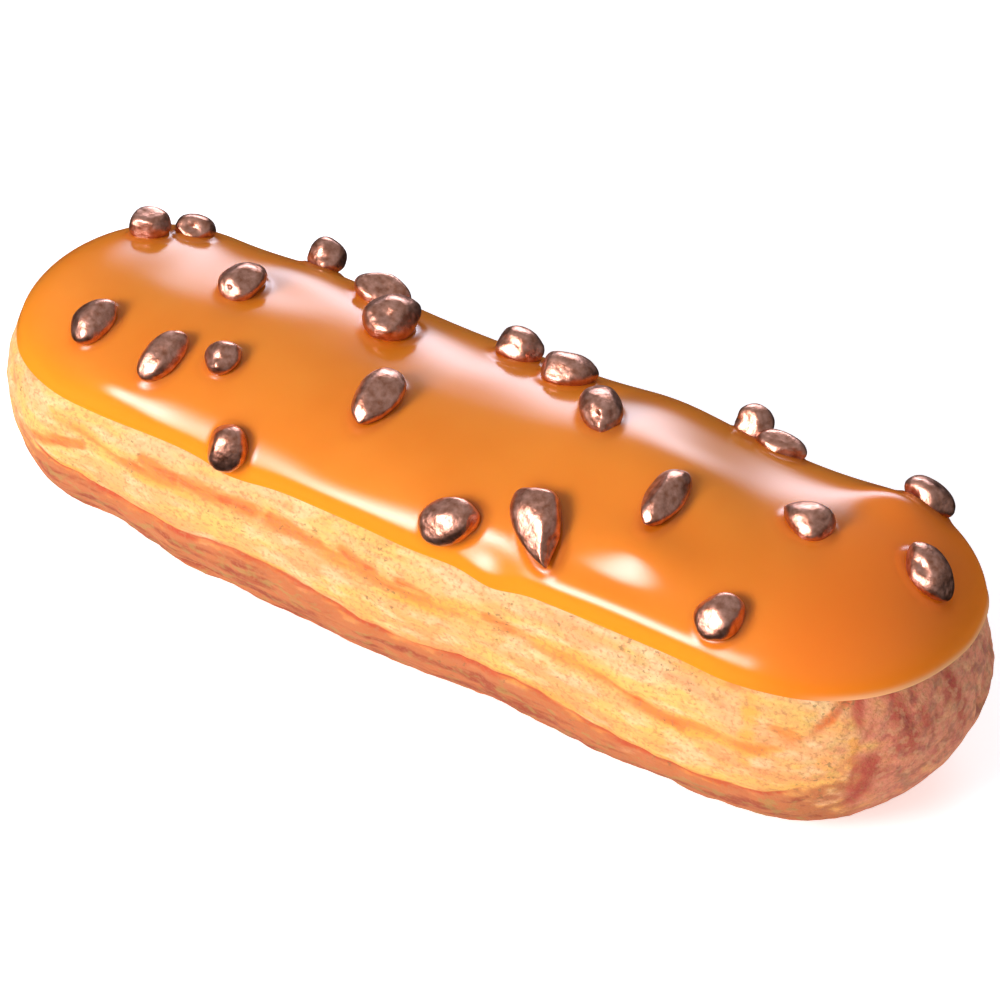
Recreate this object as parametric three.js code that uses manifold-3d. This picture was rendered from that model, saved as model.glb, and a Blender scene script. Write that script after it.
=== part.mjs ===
// A caramel eclair: a piped choux shell, caramel glaze poured over its top, and bronze nibs set in the glaze.
// Millimetres, +Z up. The eclair lies along X on its flat foot, and the origin is the middle of the foot.
import * as THREE from "three";
import { mergeVertices } from "three/addons/utils/BufferGeometryUtils.js";
import Module from "manifold-3d";

const wasm = await Module();
wasm.setup();

// The loaf is a straight run with half-round ends. Its section is a soft oval round the spine, cut flat at
// the foot.
const length = 140;
const width = 42.5;
const glazedHeight = 34.2;
const spineHeight = 14.6;
const undersideDepth = 16.2;
const sectionPower = 2.5;
const radius = width / 2;
const spineEnd = length / 2 - radius;
const endUndercut = { left: 0.3, right: 0.14 };

// Where the baked shell swells or sinks: x, turn round the spine from the far side, reach along and round,
// and rise.
const swells = [
  { x: -47, turn: 70, along: 8, round: 30, rise: -1.0 },
  { x: -34, turn: 75, along: 7, round: 13, rise: -0.5 },
  { x: -33, turn: 65, along: 7, round: 30, rise: 0.3 },
  { x: -10, turn: 65, along: 9, round: 30, rise: -0.7 },
  { x: 20, turn: 65, along: 9, round: 30, rise: 1.6 },
  { x: 24, turn: 95, along: 14, round: 20, rise: 1.7 },
  { x: 38, turn: 70, along: 8, round: 30, rise: -0.5 },
  { x: 58, turn: 45, along: 10, round: 40, rise: 0.8 },
  { x: 68, turn: 29, along: 8, round: 14, rise: -1.3 },
  { x: -60, turn: 205, along: 11, round: 40, rise: -0.8 },
  { x: -46, turn: 215, along: 9, round: 40, rise: -2.0 },
  { x: -13, turn: 215, along: 7, round: 40, rise: 0.5 },
  { x: 0, turn: 215, along: 9, round: 40, rise: 0.7 },
  { x: 34, turn: 215, along: 13, round: 40, rise: 1.0 },
  { x: 2, turn: -30, along: 14, round: 35, rise: 0.6 },
  { x: -38, turn: -25, along: 12, round: 35, rise: -0.7 },
];

// Piped ridges run the length of the shell, with wavy creases between them, and turn up over both ends under
// the glaze.
const ridgeCount = 17;
const columnsPerRidge = 3;
const firstCreaseTurn = 167;
const ridgeTwist = 0.1;
const creaseWobble = 2.5;
const wobbleReach = 6.4;
const wobbleShift = 0.45;
const creaseDepth = 0.8;
const ridgeLift = 70;
const shellStations = 38;
const shellEndRings = 9;

// The glaze: a skin over the top of the shell, with a wavy rim and a rounded lip.
const glazeThickness = 1.6;
const shellCrown = glazedHeight - glazeThickness;
const glazeGap = 0.4;
const glazeLeast = 0.3;
const lipBulge = 0.3;
const lipReach = 0.15;
const rimHeight = 25.2;
const rimWaves = [
  { x: -60, y: -12, reach: 4, rise: -0.8 },
  { x: -24, y: -20, reach: 5, rise: -0.9 },
  { x: 3, y: -20, reach: 7, rise: -0.5 },
  { x: 14, y: -20, reach: 4, rise: -1.2 },
  { x: 46, y: -20, reach: 4, rise: -0.4 },
  { x: 68, y: 4, reach: 6, rise: -0.6 },
  { x: 40, y: 20, reach: 7, rise: -0.9 },
  { x: 10, y: 20, reach: 5, rise: -0.5 },
  { x: -20, y: 20, reach: 6, rise: -1.0 },
  { x: -66, y: 12, reach: 7, rise: -0.5 },
];
// Where the glaze alone has run thicker or thinner, given as the shell's swells are.
const glazeHills = [
  { x: -44, turn: 142, along: 6, round: 10, rise: 0.9 },
  { x: -9, turn: 148, along: 12, round: 10, rise: 0.5 },
  { x: 13, turn: 146, along: 4, round: 6, rise: -0.5 },
  { x: 21, turn: 146.5, along: 6, round: 7, rise: 0.45 },
  { x: 30, turn: 145, along: 7, round: 7, rise: 0.45 },
  { x: 42, turn: 146, along: 9, round: 7, rise: 0.55 },
  { x: 28, turn: 138, along: 6, round: 4, rise: -0.15 },
  { x: 31, turn: 124.5, along: 6, round: 8, rise: 1.0 },
  { x: 32, turn: 92, along: 8, round: 22, rise: 0.9 },
  { x: 53, turn: 61, along: 5, round: 9, rise: 1.3 },
  { x: 67, turn: 46, along: 8, round: 14, rise: 0.8 },
];
const glazeStations = 34;
const glazeEndSteps = 16;
const glazeOuterRows = 9;
const glazeInnerRows = 5;
const lipSteps = 3;

// The nibs: where each lies, its size, the way its long axis points in plan, and how far that end narrows.
const nibSink = 0.9;
const nibs = [
  { x: -55.5, y: 7, length: 5.6, width: 4.8, height: 4.6, heading: 20, point: 0 },
  { x: -51.5, y: 11.5, length: 5.4, width: 4.6, height: 3.4, heading: 35, point: 0.1 },
  { x: -50.3, y: -11.8, length: 7, width: 5, height: 3.8, heading: 72, point: 0.15 },
  { x: -39, y: -12.5, length: 7.8, width: 4.6, height: 3.6, heading: 78, point: 0 },
  { x: -31.5, y: -10, length: 4.8, width: 4.4, height: 3.6, heading: 55, point: 0.1 },
  { x: -37.4, y: 2.6, length: 7, width: 5.4, height: 4.2, heading: 80, point: 0.1 },
  { x: -25, y: -18, length: 5.8, width: 5.4, height: 4.2, heading: 95, point: 0 },
  { x: -34.6, y: 16, length: 5.1, width: 4.8, height: 5.1, heading: 10, point: 0 },
  { x: -22.2, y: 11.8, length: 8, width: 5.2, height: 4.5, heading: 0, point: 0.3 },
  { x: -17, y: 6.3, length: 8.2, width: 6.8, height: 5.4, heading: 80, point: 0.1 },
  { x: -10.2, y: -7.4, length: 9, width: 5.4, height: 4.2, heading: 268, point: 0.2 },
  { x: -1.5, y: 11.5, length: 6.6, width: 5.4, height: 4.6, heading: 5, point: 0.1 },
  { x: 6.8, y: 9.5, length: 7.6, width: 6, height: 4.3, heading: 20, point: 0.1 },
  { x: 16, y: 2.4, length: 8, width: 5.2, height: 4.2, heading: -50, point: 0.1 },
  { x: 30.4, y: 14.8, length: 5.1, width: 4.8, height: 4.9, heading: -20, point: 0.2 },
  { x: 35, y: 14, length: 7, width: 4.7, height: 3.4, heading: -10, point: 0.1 },
  { x: 30.4, y: -6.1, length: 9.2, width: 4.8, height: 3.8, heading: 270, point: 0.15 },
  { x: 7, y: -16.6, length: 8.2, width: 5.6, height: 4, heading: 45, point: 0.1 },
  { x: 18, y: -14.1, length: 11.2, width: 5.8, height: 4.4, heading: -58, point: 0.45 },
  { x: 46.3, y: 0, length: 6.8, width: 5, height: 3.8, heading: 172, point: 0.25 },
  { x: 43.8, y: -15.5, length: 6.2, width: 5.6, height: 4.2, heading: 60, point: 0 },
  { x: 54.5, y: 14, length: 6.8, width: 5.6, height: 4, heading: 0, point: 0.1 },
  { x: 61.2, y: 1.8, length: 8.2, width: 5.4, height: 3.8, heading: -15, point: 0.1 },
];

const toRadians = THREE.MathUtils.degToRad;
const toDegrees = THREE.MathUtils.radToDeg;

function bell(distance, reach) {
  return Math.exp(-((distance / reach) ** 2));
}

// Shape of the loaf

// How far a list of swells lifts the skin at this x and turn.
function liftAt(list, x, turn) {
  let rise = 0;
  for (const swell of list) {
    const turnGap = THREE.MathUtils.euclideanModulo(turn - swell.turn + 180, 360) - 180;
    rise += swell.rise * bell(x - swell.x, swell.along) * bell(turnGap, swell.round);
  }
  return rise;
}

// How far the plain loaf reaches from the spine along a direction, for a crown at the given height.
function reachAlong(direction, crown) {
  const sideways = Math.hypot(direction.x, direction.y) / radius;
  const tall = direction.z > 0 ? crown - spineHeight : undersideDepth;
  const upright = Math.abs(direction.z) / tall;
  return (sideways ** sectionPower + upright ** sectionPower) ** (-1 / sectionPower);
}

// A point of the skin seen from the spine at x. The ends draw in towards the foot.
function skinPoint(x, direction, reach) {
  const point = new THREE.Vector3(x, 0, spineHeight).addScaledVector(direction, reach);
  const turn = toDegrees(Math.atan2(point.z - spineHeight, point.y));
  point.addScaledVector(direction, liftAt(swells, point.x, turn));
  const beyondSpine = Math.abs(point.x) - spineEnd;
  if (beyondSpine > 0 && point.z < spineHeight) {
    const undercut = point.x < 0 ? endUndercut.left : endUndercut.right;
    const drawIn = beyondSpine * undercut * (1 - point.z / spineHeight);
    point.x -= Math.sign(point.x) * drawIn;
  }
  return point;
}

// Booleans

function toSolid(geometry) {
  const bare = geometry.clone();
  bare.deleteAttribute("normal");
  bare.deleteAttribute("uv");
  const merged = mergeVertices(bare, 1e-5);
  return new wasm.Manifold(new wasm.Mesh({
    numProp: 3,
    vertProperties: Float32Array.from(merged.attributes.position.array),
    triVerts: Uint32Array.from(merged.index.array),
  }));
}

function toGeometry(solid) {
  const mesh = solid.getMesh();
  const geometry = new THREE.BufferGeometry();
  geometry.setAttribute("position", new THREE.BufferAttribute(Float32Array.from(mesh.vertProperties), 3));
  geometry.setIndex(new THREE.BufferAttribute(Uint32Array.from(mesh.triVerts), 1));
  geometry.computeVertexNormals();
  return geometry;
}

function closedGeometry(points, faces) {
  const geometry = new THREE.BufferGeometry().setFromPoints(points);
  geometry.setIndex(faces);
  return geometry;
}

// Joins two neighbouring rings of points, given by their first indices, with faces to the left of the way
// round.
function joinRings(faces, lower, upper, count) {
  for (let i = 0; i < count; i++) {
    const next = (i + 1) % count;
    faces.push(lower + i, lower + next, upper + next);
    faces.push(lower + i, upper + next, upper + i);
  }
}

// The choux shell

function creaseTurn(ridge, x) {
  const wobble = creaseWobble * Math.cos(x / wobbleReach + (ridge % ridgeCount - 1) * wobbleShift);
  return firstCreaseTurn + ridge * (360 / ridgeCount) + ridgeTwist * x + wobble;
}

// One ring of the shell. Beyond the spine it leans over towards the point, high on the end, where the ridges
// meet.
function shellRing(x, end, latitude) {
  const lean = toRadians(ridgeLift * latitude / 90);
  const around = Math.cos(toRadians(latitude));
  const outward = Math.sin(toRadians(latitude));
  const ring = [];
  for (let ridge = 0; ridge < ridgeCount; ridge++) {
    for (let step = 0; step < columnsPerRidge; step++) {
      const share = step / columnsPerRidge;
      const turn = toRadians((1 - share) * creaseTurn(ridge, x) + share * creaseTurn(ridge + 1, x));
      const rise = around * Math.sin(turn);
      const direction = new THREE.Vector3(
        end * (outward * Math.cos(lean) - rise * Math.sin(lean)),
        around * Math.cos(turn),
        outward * Math.sin(lean) + rise * Math.cos(lean),
      );
      const aboveFoot = THREE.MathUtils.smoothstep(direction.z, -0.85, -0.5);
      const crease = step === 0 ? creaseDepth * aboveFoot : 0;
      ring.push(skinPoint(x, direction, reachAlong(direction, shellCrown) - crease));
    }
  }
  return ring;
}

function shellPole(end) {
  const lift = toRadians(ridgeLift);
  const direction = new THREE.Vector3(end * Math.cos(lift), 0, Math.sin(lift));
  return skinPoint(end * spineEnd, direction, reachAlong(direction, shellCrown));
}

function makeShell() {
  const rings = [];
  for (let i = shellEndRings - 1; i > 0; i--) {
    rings.push(shellRing(-spineEnd, -1, 90 * i / shellEndRings));
  }
  for (let i = 0; i <= shellStations; i++) {
    rings.push(shellRing(spineEnd * (2 * i / shellStations - 1), 1, 0));
  }
  for (let i = 1; i < shellEndRings; i++) {
    rings.push(shellRing(spineEnd, 1, 90 * i / shellEndRings));
  }
  const columns = ridgeCount * columnsPerRidge;
  const points = rings.flat();
  const faces = [];
  for (let i = 0; i + 1 < rings.length; i++) {
    joinRings(faces, i * columns, (i + 1) * columns, columns);
  }
  const leftPole = points.push(shellPole(-1)) - 1;
  const rightPole = points.push(shellPole(1)) - 1;
  const lastRing = (rings.length - 1) * columns;
  for (let i = 0; i < columns; i++) {
    const next = (i + 1) % columns;
    faces.push(next, i, leftPole);
    faces.push(lastRing + i, lastRing + next, rightPole);
  }
  const trayDepth = 10;
  const tray = new THREE.BoxGeometry(2 * length, 2 * width, trayDepth).translate(0, 0, -trayDepth / 2);
  return toGeometry(toSolid(closedGeometry(points, faces)).subtract(toSolid(tray)));
}

// The glaze

// The places round the plan from which the glaze rises: along the near side, round the right end, and back.
function glazePlan() {
  const plan = [];
  for (const side of [1, -1]) {
    for (let i = 0; i <= glazeStations; i++) {
      const spot = side > 0 ? i : glazeStations - i;
      plan.push({ x: side * spineEnd * (2 * i / glazeStations - 1), heading: -90 * side, spot });
    }
    for (let i = 1; i < glazeEndSteps; i++) {
      const heading = -90 * side + 180 * i / glazeEndSteps;
      plan.push({ x: side * spineEnd, heading, spot: side > 0 ? glazeStations : 0 });
    }
  }
  return plan;
}

// How steeply the spine looks up at the rim from this place of the plan.
function rimClimb(place) {
  const heading = toRadians(place.heading);
  const x = place.x + radius * Math.cos(heading);
  const y = radius * Math.sin(heading);
  let height = rimHeight;
  for (const wave of rimWaves) {
    height += wave.rise * bell(Math.hypot(x - wave.x, y - wave.y), wave.reach);
  }
  const tall = (height - spineHeight) / (glazedHeight - spineHeight);
  const flat = radius * (1 - tall ** sectionPower) ** (1 / sectionPower);
  return toDegrees(Math.atan2(height - spineHeight, flat));
}

// How far the glaze's outer face reaches along a direction from the spine at x, with its hills.
function glazeReach(x, direction) {
  const reach = reachAlong(direction, glazedHeight);
  const turn = toDegrees(Math.atan2(direction.z, direction.y));
  return reach + liftAt(glazeHills, x + direction.x * reach, turn);
}

function glazeDirection(place, climb) {
  const flat = Math.cos(toRadians(climb));
  const heading = toRadians(place.heading);
  return new THREE.Vector3(flat * Math.cos(heading), flat * Math.sin(heading), Math.sin(toRadians(climb)));
}

// A row of points at a share of the way from the rim to the top, on the inner or the outer face.
function glazeRow(plan, share, outer) {
  return plan.map((place) => {
    const rim = rimClimb(place);
    const direction = glazeDirection(place, rim + share * (90 - rim));
    const innerReach = reachAlong(direction, shellCrown) + glazeGap;
    const lip = lipBulge * bell(share, lipReach);
    const outerReach = Math.max(glazeReach(place.x, direction) + lip, innerReach + glazeLeast);
    return skinPoint(place.x, direction, outer ? outerReach : innerReach);
  });
}

// A row of the lip, which rolls under from the inner face to the outer one through half a turn.
function lipRow(plan, roll) {
  const inner = glazeRow(plan, 0, false);
  const outer = glazeRow(plan, 0, true);
  return plan.map((place, i) => {
    const middle = inner[i].clone().add(outer[i]).multiplyScalar(0.5);
    const across = outer[i].clone().sub(middle);
    const climb = rimClimb(place);
    const down = glazeDirection(place, climb - 90).multiplyScalar(across.length());
    middle.addScaledVector(across, -Math.cos(toRadians(roll)));
    return middle.addScaledVector(down, Math.sin(toRadians(roll)));
  });
}

// The line of points along the top, on the inner or the outer face.
function ridgeLine(outer) {
  const up = new THREE.Vector3(0, 0, 1);
  const line = [];
  for (let i = 0; i <= glazeStations; i++) {
    const x = spineEnd * (2 * i / glazeStations - 1);
    const innerReach = reachAlong(up, shellCrown) + glazeGap;
    line.push(skinPoint(x, up, outer ? glazeReach(x, up) : innerReach));
  }
  return line;
}

// Closes a row onto the ridge line: each place of the plan has its own spot there, shared by both sides.
function joinRidge(faces, plan, row, ridge, flip) {
  for (let i = 0; i < plan.length; i++) {
    const next = (i + 1) % plan.length;
    const here = ridge + plan[i].spot;
    const there = ridge + plan[next].spot;
    const corners = [[row + i, row + next, there]];
    if (here !== there) {
      corners.push([row + i, there, here]);
    }
    for (const [a, b, c] of corners) {
      faces.push(...(flip ? [a, c, b] : [a, b, c]));
    }
  }
}

function makeGlaze() {
  const plan = glazePlan();
  const rows = [];
  for (let i = glazeInnerRows - 1; i >= 0; i--) {
    rows.push(glazeRow(plan, i / glazeInnerRows, false));
  }
  for (let i = 1; i < lipSteps; i++) {
    rows.push(lipRow(plan, 180 * i / lipSteps));
  }
  for (let i = 0; i < glazeOuterRows; i++) {
    rows.push(glazeRow(plan, i / glazeOuterRows, true));
  }
  const points = rows.flat();
  const faces = [];
  for (let i = 0; i + 1 < rows.length; i++) {
    joinRings(faces, i * plan.length, (i + 1) * plan.length, plan.length);
  }
  const innerRidge = points.length;
  points.push(...ridgeLine(false));
  const outerRidge = points.length;
  points.push(...ridgeLine(true));
  joinRidge(faces, plan, 0, innerRidge, true);
  joinRidge(faces, plan, (rows.length - 1) * plan.length, outerRidge, false);
  let solid = toSolid(closedGeometry(points, faces));
  for (const nib of nibs) {
    solid = solid.add(toSolid(nibGeometry(nib)));
  }
  return toGeometry(solid);
}

// The nibs

// The place on the glaze over a point of the plan, and the direction that faces out of it there.
function glazeSeat(x, y) {
  const spineX = THREE.MathUtils.clamp(x, -spineEnd, spineEnd);
  const flat = new THREE.Vector2(x - spineX, y);
  const tall = glazedHeight - spineHeight;
  const out = flat.length() / radius;
  const rise = tall * (1 - out ** sectionPower) ** (1 / sectionPower);
  const direction = new THREE.Vector3(flat.x, flat.y, rise).normalize();
  const seat = skinPoint(spineX, direction, glazeReach(spineX, direction));
  const lean = out ** (sectionPower - 1) / radius;
  const lift = (rise / tall) ** (sectionPower - 1) / tall;
  flat.normalize().multiplyScalar(lean);
  return { seat, normal: new THREE.Vector3(flat.x, flat.y, lift).normalize() };
}

function nibGeometry(nib) {
  const { seat, normal } = glazeSeat(nib.x, nib.y);
  const heading = toRadians(nib.heading);
  const along = new THREE.Vector3(Math.cos(heading), Math.sin(heading), 0);
  along.addScaledVector(normal, -along.dot(normal)).normalize();
  const aside = new THREE.Vector3().crossVectors(normal, along);
  const turned = new THREE.Matrix4().makeBasis(along, aside, normal);
  const geometry = new THREE.IcosahedronGeometry(1, 1);
  const corners = geometry.attributes.position;
  for (let i = 0; i < corners.count; i++) {
    const end = corners.getX(i);
    const side = corners.getY(i);
    const top = corners.getZ(i);
    corners.setXYZ(
      i,
      end * nib.length / 2,
      side * nib.width / 2 * (1 - nib.point * end),
      top * nib.height / 2 * (1 - nib.point * end / 2),
    );
  }
  geometry.translate(0, 0, nib.height / 2 - nibSink);
  geometry.applyMatrix4(turned);
  geometry.translate(seat.x, seat.y, seat.z);
  return geometry;
}

// Assembly

function named(name, geometry, colour, roughness, metalness) {
  const material = new THREE.MeshStandardMaterial({ color: colour, roughness, metalness });
  const mesh = new THREE.Mesh(geometry, material);
  mesh.name = name;
  return mesh;
}

const eclair = new THREE.Group();
eclair.name = "caramel_eclair";
eclair.add(named("choux", makeShell(), 0xf0bd7c, 0.85, 0));
eclair.add(named("glaze", makeGlaze(), 0xd9822b, 0.25, 0));

export default eclair;
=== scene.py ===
# A caramel eclair, dressed round its solids: the piped choux shell, the caramel glaze and the cocoa nibs.
# Metres, +Z up. It lies along X on its flat foot, and the origin is the middle of the foot.
import math
import random

import bmesh
import bpy
import numpy as np
from mathutils import Matrix, Vector, noise


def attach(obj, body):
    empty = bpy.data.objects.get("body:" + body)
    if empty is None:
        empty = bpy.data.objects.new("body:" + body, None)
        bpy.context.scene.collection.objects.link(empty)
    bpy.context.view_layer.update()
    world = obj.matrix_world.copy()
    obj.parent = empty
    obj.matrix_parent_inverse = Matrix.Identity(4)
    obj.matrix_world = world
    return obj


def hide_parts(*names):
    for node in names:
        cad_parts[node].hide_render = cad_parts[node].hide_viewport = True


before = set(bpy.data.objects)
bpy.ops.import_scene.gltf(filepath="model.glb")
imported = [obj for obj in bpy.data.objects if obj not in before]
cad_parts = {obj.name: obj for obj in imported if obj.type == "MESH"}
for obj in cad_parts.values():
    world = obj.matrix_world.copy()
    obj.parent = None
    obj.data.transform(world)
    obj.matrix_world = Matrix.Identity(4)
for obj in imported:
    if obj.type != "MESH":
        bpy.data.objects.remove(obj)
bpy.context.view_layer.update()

# The choux shell
# Choux paste, piped through a star nozzle on to a tray and baked. The nozzle's ridges stay and turn up over
# the ends, the crust is dry and pale with darker creases, and the side that stood on the tray is flat and
# brown.
MM = 0.001
LOAF_LENGTH = 140 * MM
LOAF_WIDTH = 42.5 * MM
GLAZED_HEIGHT = 34.2 * MM
SPINE_HEIGHT = 14.6 * MM
UNDERSIDE_DEPTH = 16.2 * MM
SECTION_POWER = 2.5
RADIUS = LOAF_WIDTH / 2
SPINE_END = LOAF_LENGTH / 2 - RADIUS
UNDERCUT = {"left": 0.3, "right": 0.14}
GLAZE_THICKNESS = 1.6 * MM
SHELL_CROWN = GLAZED_HEIGHT - GLAZE_THICKNESS

# Where the shell swells or sinks. X, the reach along it and the rise are in millimetres. The turn round the
# spine and the reach round it are in degrees.
SWELLS = [
    {"x": -47, "turn": 70, "along": 8, "round": 30, "rise": -1.0},
    {"x": -34, "turn": 75, "along": 7, "round": 13, "rise": -0.5},
    {"x": -33, "turn": 65, "along": 7, "round": 30, "rise": 0.3},
    {"x": -10, "turn": 65, "along": 9, "round": 30, "rise": -0.7},
    {"x": 20, "turn": 65, "along": 9, "round": 30, "rise": 1.6},
    {"x": 24, "turn": 95, "along": 14, "round": 20, "rise": 1.7},
    {"x": 38, "turn": 70, "along": 8, "round": 30, "rise": -0.5},
    {"x": 58, "turn": 45, "along": 10, "round": 40, "rise": 0.8},
    {"x": 68, "turn": 29, "along": 8, "round": 14, "rise": -1.3},
    {"x": -60, "turn": 205, "along": 11, "round": 40, "rise": -0.8},
    {"x": -46, "turn": 215, "along": 9, "round": 40, "rise": -2.0},
    {"x": -13, "turn": 215, "along": 7, "round": 40, "rise": 0.5},
    {"x": 0, "turn": 215, "along": 9, "round": 40, "rise": 0.7},
    {"x": 34, "turn": 215, "along": 13, "round": 40, "rise": 1.0},
    {"x": 2, "turn": -30, "along": 14, "round": 35, "rise": 0.6},
    {"x": -38, "turn": -25, "along": 12, "round": 35, "rise": -0.7},
]
RIDGES = 17
COLUMNS_PER_RIDGE = 12
COLUMNS = RIDGES * COLUMNS_PER_RIDGE
FIRST_CREASE_TURN = 167
RIDGE_TWIST = 0.1
CREASE_WOBBLE = 2.5
WOBBLE_REACH = 6.4 * MM
WOBBLE_SHIFT = 0.45
CREASE_DEPTH = 0.6 * MM
CREASE_WIDTH = 0.2
RIDGE_LIFT = 70
RIDGE_CREST = 0.2 * MM
BROAD_BUMP = 0.35 * MM
BROAD_BUMP_SIZE = 7 * MM
FINE_BUMP = 0.16 * MM
FINE_BUMP_SIZE = 2.2 * MM
CREASE_BREAK_SIZE = 5 * MM
POCKED_PATCH_SIZE = 6 * MM
# From where to where each part of the shell fades in: by the upward share of the direction, by the latitude
# on a round end, or by a height, an x or a y.
ABOVE_FOOT = (-0.85, -0.5)
ON_END = (0.15, 0.7)
UNDER_GLAZE = (22.5 * MM, 24.5 * MM)
NEAR_SIDE = (-2 * MM, 4 * MM)
PAST_LEFT_END = (-62 * MM, -55 * MM)
RUDDY_X = (54 * MM, 66 * MM)
RUDDY_Y = (-24 * MM, -13 * MM)
LOW_END = (0.2, 0.9)
LOW_END_HEIGHT = (2 * MM, 9 * MM)
END_RINGS = 40
STRAIGHT_CUTS = 15

# Marks of the oven on the near side and the right end. Each runs between two places, given in millimetres by
# the way round the plan from the middle of the near side and by the height. Most embers lie in the upper
# crease.
OVEN_MARKS = [
    {"tint": "ember", "from": (-58, 16.3), "to": (-52, 18.2), "width": 1.3, "strength": 0.8},
    {"tint": "ember", "from": (-52, 18.5), "to": (-47.5, 19.5), "width": 1.1, "strength": 0.9},
    {"tint": "ember", "from": (-40.5, 21), "to": (-38.5, 20.4), "width": 0.8, "strength": 0.7},
    {"tint": "ember", "from": (-37.3, 21.4), "to": (-32.5, 20.7), "width": 1.1, "strength": 1},
    {"tint": "ember", "from": (-31.4, 20.8), "to": (-20.7, 21), "width": 1.2, "strength": 0.85},
    {"tint": "ember", "from": (-18, 21), "to": (-10, 20.3), "width": 1.1, "strength": 0.85},
    {"tint": "ember", "from": (-7, 20.9), "to": (-2.4, 20), "width": 1.1, "strength": 0.9},
    {"tint": "ember", "from": (1.5, 20.1), "to": (6, 19.6), "width": 0.9, "strength": 0.85},
    {"tint": "ember", "from": (14.2, 20.2), "to": (18, 19.6), "width": 1.0, "strength": 0.75},
    {"tint": "ember", "from": (22.3, 19.5), "to": (32.6, 18.4), "width": 0.6, "strength": 0.6},
    {"tint": "ember", "from": (32.6, 18.4), "to": (42, 16.2), "width": 0.7, "strength": 0.8},
    {"tint": "ember", "from": (47.4, 24.9), "to": (50, 24.6), "width": 1.2, "strength": 0.6},
    {"tint": "ember", "from": (53.7, 20.3), "to": (56.7, 20), "width": 1.6, "strength": 0.6},
    {"tint": "gold", "from": (50.7, 21.9), "to": (50.8, 15.5), "width": 2.2, "strength": 0.9},
    {"tint": "gold", "from": (63.5, 23), "to": (63.8, 17), "width": 1.2, "strength": 0.9},
    {"tint": "wine", "from": (66, 16.8), "to": (64, 9), "width": 1.5, "strength": 1},
    {"tint": "wine", "from": (63.8, 15.9), "to": (63.3, 9.9), "width": 0.7, "strength": 0.8},
    {"tint": "wine", "from": (64.2, 25.5), "to": (64.4, 22.5), "width": 1.0, "strength": 0.8},
    {"tint": "wine", "from": (69, 25), "to": (71.2, 18), "width": 1.5, "strength": 1},
    {"tint": "wine", "from": (71.8, 24.6), "to": (73.2, 19.4), "width": 0.9, "strength": 0.9},
    {"tint": "wine", "from": (78, 24), "to": (80, 15.5), "width": 1.3, "strength": 0.9},
]


def deselect_all():
    bpy.ops.object.select_all(action="DESELECT")


def select_points(piece, rule):
    """In edit mode, selects the vertices whose place meets the rule, and the edges and faces between them."""
    mesh = bmesh.from_edit_mesh(piece.data)
    bpy.ops.mesh.select_all(action="DESELECT")
    bpy.ops.mesh.select_mode(type="VERT")
    for point in mesh.verts:
        point.select = rule(point.co)
    mesh.select_flush(True)
    bmesh.update_edit_mesh(piece.data)


def select_edges(piece, rule):
    """In edit mode, selects the edges whose two ends meet the rule."""
    mesh = bmesh.from_edit_mesh(piece.data)
    bpy.ops.mesh.select_all(action="DESELECT")
    bpy.ops.mesh.select_mode(type="EDGE")
    for edge in mesh.edges:
        edge.select = rule(edge.verts[0].co, edge.verts[1].co)
    bmesh.update_edit_mesh(piece.data)


def pull_ends_apart(piece):
    """Moves the halves of a round form apart along X, with a band of long straight edges between them."""
    for end in (-1, 1):
        select_points(piece, lambda place: place.x * end > 0)
        bpy.ops.transform.translate(value=(end * SPINE_END, 0, 0))


def runs_along(first, second, axis):
    gap = [abs(a - b) for a, b in zip(first, second)]
    return gap[axis] > 10 * (sum(gap) - gap[axis])


def get_points(piece):
    places = np.empty(len(piece.data.vertices) * 3)
    piece.data.vertices.foreach_get("co", places)
    return places.reshape(-1, 3)


def set_points(piece, places):
    piece.data.vertices.foreach_set("co", places.ravel())
    piece.data.update()


def paint(piece, name, values):
    """Stores a number on each vertex for the material to read."""
    layer = piece.data.attributes.new(name, "FLOAT", "POINT")
    layer.data.foreach_set("value", np.asarray(values, np.float32))


def bell(distance, reach):
    return np.exp(-((distance / reach) ** 2))


def ramp(value, low, high):
    share = np.clip((value - low) / (high - low), 0, 1)
    return share * share * (3 - 2 * share)


def ripple(places, size, seed, octaves=2):
    """Smooth noise between about -1 and 1 over a list of places, with bumps of a given size."""
    shift = Vector((seed * 7.3, seed * 3.1, seed * 5.7))
    return np.array([noise.fractal(Vector(place) / size + shift, 1.0, 2.0, octaves) for place in places])


def swell_at(x, turn, swells):
    rise = np.zeros_like(x)
    for swell in swells:
        turn_gap = (turn - swell["turn"] + 180) % 360 - 180
        near = bell(x - swell["x"] * MM, swell["along"] * MM) * bell(turn_gap, swell["round"])
        rise += swell["rise"] * MM * near
    return rise


def reach_along(direction, crown):
    """How far the plain loaf reaches from the spine along each direction, for a crown at the given height."""
    sideways = np.hypot(direction[:, 0], direction[:, 1]) / RADIUS
    tall = np.where(direction[:, 2] > 0, crown - SPINE_HEIGHT, UNDERSIDE_DEPTH)
    upright = np.abs(direction[:, 2]) / tall
    return (sideways ** SECTION_POWER + upright ** SECTION_POWER) ** (-1 / SECTION_POWER)


def skin_points(x, direction, reach):
    """Places on the skin, seen from the spine at x. The ends draw in towards the foot."""
    spine = np.stack([x, np.zeros_like(x), np.full_like(x, SPINE_HEIGHT)], axis=1)
    first = spine + direction * reach[:, None]
    turn = np.degrees(np.arctan2(first[:, 2] - SPINE_HEIGHT, first[:, 1]))
    places = spine + direction * (reach + swell_at(first[:, 0], turn, SWELLS))[:, None]
    beyond = np.maximum(np.abs(places[:, 0]) - SPINE_END, 0)
    undercut = np.where(places[:, 0] < 0, UNDERCUT["left"], UNDERCUT["right"])
    below = np.clip(1 - places[:, 2] / SPINE_HEIGHT, 0, None)
    places[:, 0] -= np.sign(places[:, 0]) * beyond * undercut * below
    return places


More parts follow.
